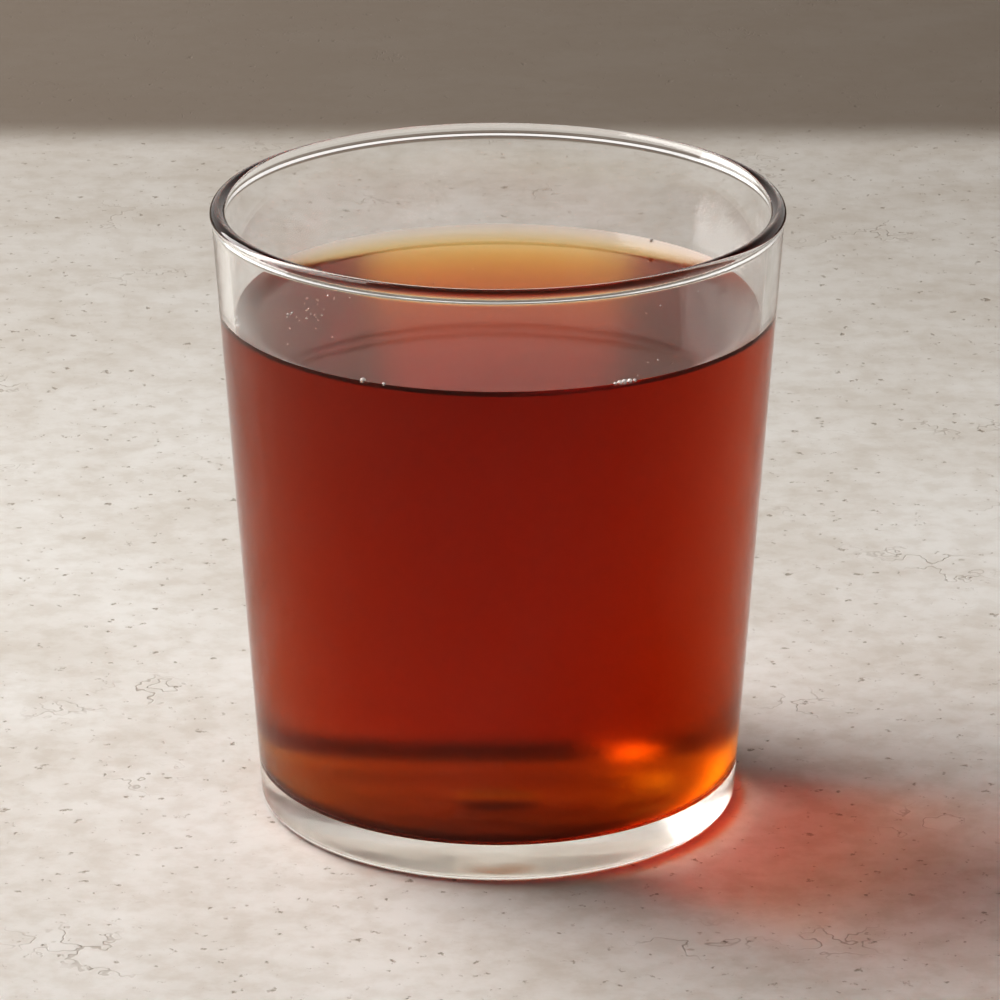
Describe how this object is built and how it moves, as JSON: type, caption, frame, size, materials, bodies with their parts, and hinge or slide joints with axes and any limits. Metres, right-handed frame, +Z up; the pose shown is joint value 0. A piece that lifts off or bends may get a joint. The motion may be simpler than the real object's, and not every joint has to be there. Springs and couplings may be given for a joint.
{
  "type": "glass cup of tea",
  "caption": "Straight-sided clear glass tumbler with a thick base and a rounded rim, filled most of the way with clear red-brown tea.",
  "frame": {"origin": "middle of the underside, on the surface that the glass stands on", "axes": "+Z up along the glass's turning axis; X and Y are alike, because the glass is round"},
  "size_m": [0.085, 0.085, 0.0936],
  "materials": {
    "clear_glass": "clear pressed glass, smooth, with a fire-polished rim",
    "tea": "clear red-brown liquid with a still, glossy surface"
  },
  "bodies": {
    "root": {"glass": "clear_glass", "tea": "tea"}
  },
  "joints": []
}
